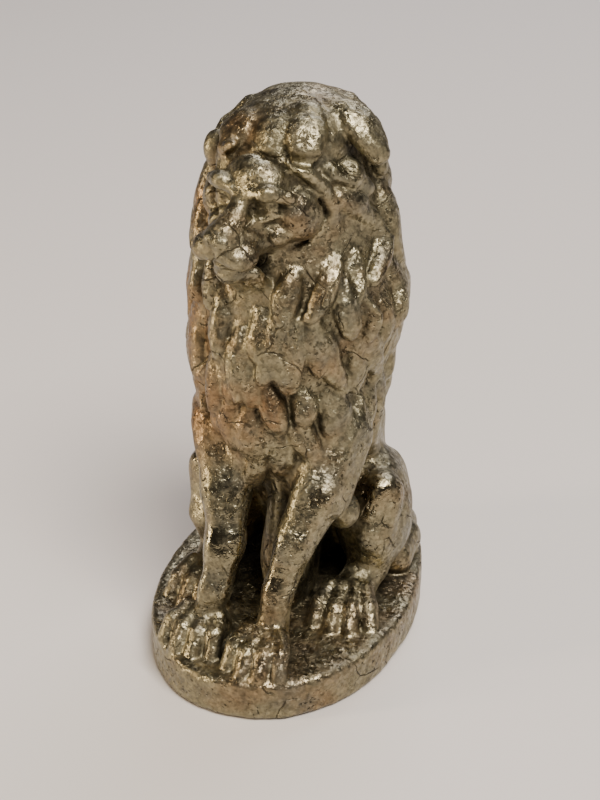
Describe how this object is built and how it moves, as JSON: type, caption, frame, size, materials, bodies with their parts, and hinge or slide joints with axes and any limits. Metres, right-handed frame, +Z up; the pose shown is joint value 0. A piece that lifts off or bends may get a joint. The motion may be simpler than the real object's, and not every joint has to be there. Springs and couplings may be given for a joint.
{
  "type": "lion statuette",
  "caption": "Seated lion with a thick curling mane and the head turned to its right, carved in one with a low oval base.",
  "frame": {"origin": "centre of the underside of the oval base", "axes": "+Z up, -Y the way the lion faces, +X the lion's left side"},
  "size_m": [0.03, 0.0444, 0.0644],
  "materials": {
    "pyrite": "worn polish over a grainy metallic stone"
  },
  "bodies": {
    "root": {"lion_carving": "pyrite"}
  },
  "joints": []
}
